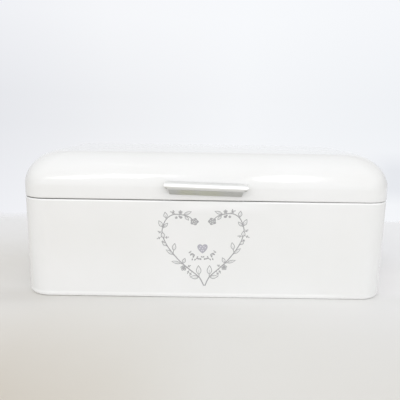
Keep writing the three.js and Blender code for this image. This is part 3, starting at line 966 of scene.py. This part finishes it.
class Print:
    """Flat shapes gathered into one mesh, each a hair's breadth in front of the one before."""

    def __init__(self):
        self.bm = bmesh.new()
        self.mirrored = False
        self.shift = 0.0
        self.ink = INK
        self.level = FRONT - PRINT_LIFT

    def row(self, points):
        verts = []
        for x, y in points:
            x = self.shift + (-RIGHT_SHARE * x if self.mirrored else x)
            place = TIP + turn2(Vector((x, y)) - TIP, PRINT_TILT)
            up = place.y + PRINT_RISE * min(1, (place.y - TIP.y) / PRINT_RISE_RUN)
            verts.append(self.bm.verts.new(((PRINT_X + place.x) * mm, self.level, SEAM + up * mm)))
        return verts

    def face(self, verts):
        face = self.bm.faces.new(verts)
        face.material_index = self.ink
        face.normal_update()
        if face.normal.y > 0:
            face.normal_flip()

    def patch(self, points):
        self.level -= LAYER_STEP
        self.face(self.row(points))

    def strip(self, outer, inner, closed=False):
        self.level -= LAYER_STEP
        outer, inner = self.row(outer), self.row(inner)
        for i in range(len(outer) - (not closed)):
            j = (i + 1) % len(outer)
            self.face((outer[i], outer[j], inner[j], inner[i]))

    def stroke(self, points, width, end_width=None):
        end_width = width if end_width is None else end_width
        left, right = [], []
        for i, point in enumerate(points):
            ahead = points[min(i + 1, len(points) - 1)] - points[max(i - 1, 0)]
            half = (width + (end_width - width) * i / (len(points) - 1)) / 2
            across = turn2(ahead.normalized(), 90) * half
            left.append(point + across)
            right.append(point - across)
        self.strip(left, right)

    def leaf(self, foot, tip, width, stalk):
        """A pointed leaf: an outline on a stalk, a tint inside it and half a midrib."""
        direction = tip - foot
        across = turn2(direction.normalized(), 90)

        def edge(first, last, half):
            shares = [step / LEAF_STEPS for step in range(LEAF_STEPS + 1)]
            sides = []
            for side, order in ((1, shares), (-1, shares[::-1])):
                for share in order:
                    swell = half * sin(pi * share ** 0.8)
                    sides.append(foot + direction * (first + (last - first) * share) + across * side * swell)
            return sides

        length = direction.length
        inner = edge(stalk + 0.9 * STROKE / length, 1 - 1.3 * STROKE / length, width / 2 - 0.8 * STROKE)
        self.ink = TINT
        self.patch(inner)
        self.ink = INK
        self.strip(edge(stalk, 1, width / 2), inner, closed=True)
        self.stroke([foot, foot + direction * 1.1 * stalk], 0.9 * STROKE)
        self.stroke([foot + direction * stalk, foot + direction * 0.6], 0.5 * STROKE, 0.3 * STROKE)

    def disc(self, middle, radius, stretch=1.0, direction=heading(0), scallops=0):
        across = turn2(direction, 90)
        steps = SCALLOP_STEPS * scallops or DISC_STEPS
        points = []
        for step in range(steps):
            angle = step / steps * tau
            reach = radius * (1 + SCALLOP_DEPTH * cos(scallops * angle)) if scallops else radius
            points.append(middle + direction * reach * stretch * cos(angle) + across * reach * sin(angle))
        self.patch(points)

    def flower(self, middle, radius, petals=5):
        for petal in range(petals):
            direction = turn2(Vector((0, 1)), petal / petals * 360)
            self.ink = INK
            self.disc(middle + direction * radius * 0.58, radius * 0.42, 1.15, direction)
            self.ink = TINT
            self.disc(middle + direction * radius * 0.66, radius * 0.12, 1.4, direction)
        self.ink = INK
        self.disc(middle, radius * 0.22)

    def rose(self, middle, radius, petals=5):
        """A full round bloom with a few light gaps between its petals."""
        self.ink = INK
        self.disc(middle, radius, 1.15, scallops=petals)
        self.ink = TINT
        for petal in range(petals):
            direction = heading((petal + 0.5) * 360 / petals)
            self.disc(middle + direction * radius * 0.56, radius * 0.09, 2.6, turn2(direction, 90))
        self.disc(middle, radius * 0.1, 2, heading(30))
        self.ink = INK

    def sprig(self, foot, tip):
        """A short stem with a leaflet at its end and one on each side."""
        direction = tip - foot
        self.stroke([foot, tip], 0.6 * STROKE, 0.4 * STROKE)
        for degrees, reach in ((-50, 0.55), (50, 0.55), (0, 0.85)):
            ahead = turn2(direction.normalized(), degrees)
            self.disc(foot + direction * reach + ahead * 0.9, 0.55, 1.9, ahead)

    def heart(self, middle):
        """A full little heart, dotted inside."""
        half = smooth_line(HEART, 4)
        outline = half + [Vector((-point.x, point.y)) for point in half[-2:0:-1]]
        self.ink = MAUVE
        self.patch([middle + point for point in outline])
        self.ink = PALE_MAUVE
        for spot in HEART_SPOTS:
            self.disc(middle + Vector(spot), 0.62, 1.3, heading(60))


def draw_half(pattern):
    line = smooth_line(BRANCH)
    pattern.ink = INK
    pattern.stroke(line, STROKE, 1.3 * STROKE)
    for *ends, width, stalk in LEAVES:
        pattern.leaf(Vector(ends[:2]), Vector(ends[2:]), width, stalk)
    for x, y, radius in FLOWERS:
        pattern.flower(Vector((x, y)), radius)
    for sprig in SPRIGS:
        pattern.sprig(Vector(sprig[:2]), Vector(sprig[2:]))
    pattern.ink = INK
    for x, y, radius in BERRIES:
        pattern.disc(Vector((x, y)), radius, 1.3)
    pattern.rose(line[0] + Vector((0, -0.2)), ROSE_RADIUS)
    pattern.shift = INNER_X
    for stem in GARLAND_STEMS:
        pattern.stroke(smooth_line(stem), 0.45 * STROKE)
    for x, y, degrees, half in GARLAND_LEAFLETS:
        pattern.disc(Vector((x, y)), 1.2 * half, 1.6, heading(degrees))
    pattern.shift = 0.0


def printed_wreath(inks):
    pattern = Print()
    for pattern.mirrored in (False, True):
        draw_half(pattern)
    pattern.mirrored = False
    pattern.shift = INNER_X
    pattern.heart(Vector(HEART_MIDDLE))
    piece = to_object("printed_wreath", pattern.bm, outward=False)
    for ink in inks:
        piece.data.materials.append(ink)
    piece.modifiers.new("thickness", "SOLIDIFY").thickness = PRINT_THICKNESS
    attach(piece, "tub")


# Stage: floor, light and camera

FLOOR_REACH = 3
FLOOR_BEHIND = 0.3
TONES_REACH = 0.5  # how far to each side the floor's tones are given


def floor():
    """A pale floor whose far edge fades into the wall's light behind the box."""
    s = shader("floor", (0.74, 0.73, 0.71), 0.5)
    x, y, _ = s.axes(s.place)
    across = s.between(x, -TONES_REACH, TONES_REACH)
    # Painted light on the floor close beside both ends of the box, where its shade falls.
    beside = s.ramp(
        across,
        (0, (0.725, 0.70, 0.655)), (0.22, (0.735, 0.715, 0.675)), (0.28, (0.78, 0.765, 0.735)),
        (0.34, (0.75, 0.735, 0.70)), (0.55, (0.775, 0.765, 0.735)), (0.75, (0.805, 0.80, 0.80)),
        (0.80, (0.85, 0.845, 0.855)), (1, (0.83, 0.82, 0.81)),
    )
    in_front = s.ramp(
        across,
        (0, (0.76, 0.75, 0.725)), (0.17, (0.59, 0.535, 0.45)), (0.33, (0.59, 0.535, 0.45)),
        (0.5, (0.74, 0.725, 0.685)), (0.8, (0.72, 0.705, 0.67)),
    )
    nearness = s.ramp(s.between(y, -0.9, -0.1), (0.12, 0), (0.56, 1), (0.76, 1), (0.96, 0))
    tones = s.mix(nearness, beside, in_front)
    # The white front throws light on the floor before its right half.
    by_front = s.ramp(
        across,
        (0.29, (0.70, 0.68, 0.645)), (0.34, (0.745, 0.73, 0.70)), (0.41, (0.77, 0.76, 0.73)),
        (0.52, (0.855, 0.85, 0.835)), (0.67, (0.86, 0.855, 0.84)), (0.74, (0.80, 0.80, 0.79)),
    )
    bounce = s.ramp(
        s.between(y, FRONT - 80 * mm, FRONT + 40 * mm),
        (0, 0), (0.30, 0.18), (0.48, 0.5), (0.60, 1), (0.72, 1), (0.90, 0),
    )
    tones = s.mix(bounce, tones, by_front)
    # The right end of the box throws light on the floor beside it.
    by_end = s.ramp(across, (0.70, 0), (0.715, 1), (0.80, 1), (0.95, 0))
    near_end = s.ramp(
        s.between(y, FRONT, BACK),
        (0, 0.1), (0.04, 0.5), (0.10, 1), (0.34, 0.95), (0.44, 0.6), (0.54, 0.22), (0.66, 0),
    )
    tones = s.mix(near_end, tones, s.mix(by_end, tones, (0.895, 0.885, 0.885)))
    away = s.between(y, BACK - 0.10, BACK + FLOOR_BEHIND)
    gradual = s.ramp(away, (0, 1), (0.30, 0.62), (0.62, 0.45), (0.78, 0))
    sudden = s.ramp(away, (0, 1), (0.35, 0.80), (0.63, 0.66), (0.69, 0))
    material = s.finish({
        "Base Color": s.mix(s.spread(s.noise(4, 4), 0, 0.25), tones, (0.80, 0.795, 0.785)),
        "Normal": s.bump(s.noise(300, 3), 0.04 * mm),
        "Alpha": s.mix(s.between(x, 0, 0.25), gradual, sudden),
    })
    reach, far = FLOOR_REACH, BACK + FLOOR_BEHIND
    bm = bmesh.new()
    for x, y in ((-reach, -reach), (reach, -reach), (reach, far), (-reach, far)):
        bm.verts.new((x, y, PAD_GIVE))
    bm.faces.new(bm.verts[:])
    plane = to_object("floor", bm)
    plane.data.materials.append(material)


def world():
    """Even studio light, brightest behind the box and dimmer to its sides."""
    s = Shading(bpy.data.worlds.new("studio"), "BACKGROUND", "Generated")
    bpy.context.scene.world = s.holder
    x, y, z = s.axes(s.place)
    across = s.between(x, -1, 1)
    tones = s.ramp(
        across,
        (0, (0.48, 0.48, 0.49)), (0.27, (0.79, 0.80, 0.835)), (0.40, (0.86, 0.87, 0.895)),
        (0.55, (0.905, 0.92, 0.945)), (0.72, (0.87, 0.89, 0.92)), (1, (0.34, 0.34, 0.35)),
    )
    nearer = s.ramp(
        across,
        (0, (0.50, 0.50, 0.51)), (0.27, (0.86, 0.87, 0.905)), (0.40, (0.92, 0.93, 0.955)),
        (0.55, (0.935, 0.95, 0.975)), (0.74, (0.91, 0.925, 0.955)), (1, (0.38, 0.38, 0.39)),
    )
    height = s.between(z, -0.2, 0.3)
    tones = s.mix(s.ramp(height, (0, 1), (0.38, 0), (0.50, 0), (0.84, 1)), tones, nearer)
    # A duller strip of wall beside the lid's right end.
    strip = s.ramp(height, (0.05, 0), (0.12, 1), (0.20, 1), (0.28, 0))
    strip = s.mix(s.between(x, 0.36, 0.42), (0, 0, 0), strip)
    tones = s.mix(strip, tones, (0.80, 0.82, 0.86))
    overhead = s.ramp(z, (0.27, 0), (0.42, 1), (0.65, 1), (1, 0.3))
    # The studio is a little brighter in front of the box than behind it.
    s.finish({
        "Color": s.mix(overhead, tones, (0.77, 0.768, 0.765)),
        "Strength": s.spread(y, 1.54, 1, -0.7, 0.1),
    })


def softbox(name, place, size, power, roll=0.0, shape="RECTANGLE"):
    """A lamp that is aimed at the front of the lid."""
    light = bpy.data.lights.new(name, "AREA")
    light.shape = shape
    light.size, light.size_y = size
    light.energy = power
    lamp = in_scene(name, light)
    lamp.location = place
    lamp.rotation_mode = "QUATERNION"
    aim = (Vector((0, FRONT, SEAM + SKIRT_HEIGHT)) - Vector(place)).to_track_quat("-Z", "Y")
    lamp.rotation_quaternion = aim @ Matrix.Rotation(radians(roll), 3, "Z").to_quaternion()


def lights():
    softbox("window_left", (-0.345, -1.36, 0.92), (0.21, 0.34), 0.78)
    softbox("window_left_edge", (-0.18, -1.36, 1.00), (0.13, 0.17), 0.24)
    softbox("window_left_tail", (-0.54, -1.36, 0.74), (0.36, 0.18), 0.50, roll=69)
    softbox("window_right", (0.39, -1.36, 0.87), (0.29, 0.58), 1.5, roll=-14, shape="ELLIPSE")
    softbox("top_strip", (-0.29, -0.42, 1.25), (0.28, 0.02), 0.065)


def camera():
    """The photograph's viewing angle, fitted to the edges of the box in its 400 by 400 pixels."""
    focal_pixels, picture_pixels, sensor = 416, 400, 36
    pitch, yaw, roll = radians(10.85), radians(0.23), radians(0.90)
    place = Vector((-9.3 * mm, MIDDLE_Y - 572.1 * mm, 204.8 * mm))
    ahead = Vector((sin(yaw) * cos(pitch), cos(yaw) * cos(pitch), -sin(pitch)))
    level = ahead.cross(Vector((0, 0, 1))).normalized()
    upright = level.cross(ahead)
    right = cos(roll) * level + sin(roll) * upright
    up = -sin(roll) * level + cos(roll) * upright
    data = bpy.data.cameras.new("camera")
    data.sensor_width = sensor
    data.lens = focal_pixels / picture_pixels * sensor
    data.clip_start = 10 * mm
    view = in_scene("camera", data)
    view.matrix_world = Matrix((
        (right.x, up.x, -ahead.x, place.x),
        (right.y, up.y, -ahead.y, place.y),
        (right.z, up.z, -ahead.z, place.z),
        (0, 0, 0, 1),
    ))
    bpy.context.scene.camera = view


enamel = enamel_material()
satin = handle_material()
plated = plated_material()
rubber = rubber_material()

body_wall(enamel)
base_panel(enamel)
lid_shell(enamel)
handle(satin)
for side in ("left", "right"):
    washer(f"handle_washer_{side}", plated)
    screw(f"handle_screw_{side}", plated)
    pin(f"hinge_{side}_pin", plated)
    leaf(f"hinge_{side}_body_leaf", "tub", -1, plated)
    leaf(f"hinge_{side}_lid_leaf", "lid", 1, plated)
    for row in ("front", "back"):
        foot(f"foot_{row}_{side}", rubber)
for part, body in (("body", "tub"), ("lid", "lid")):
    for node in rivet_nodes(part):
        rivet(node, body, plated)
printed_wreath([
    ink_material("ink", (0.36, 0.36, 0.365), (0.44, 0.44, 0.445)),
    ink_material("tint", (0.78, 0.78, 0.775), (0.81, 0.81, 0.80)),
    ink_material("mauve_ink", (0.42, 0.415, 0.46), (0.48, 0.47, 0.515)),
    ink_material("pale_mauve_ink", (0.66, 0.65, 0.70), (0.70, 0.69, 0.73)),
])

floor()
world()
lights()
camera()

view = bpy.context.scene.view_settings
view.view_transform = "Standard"
view.look = "None"
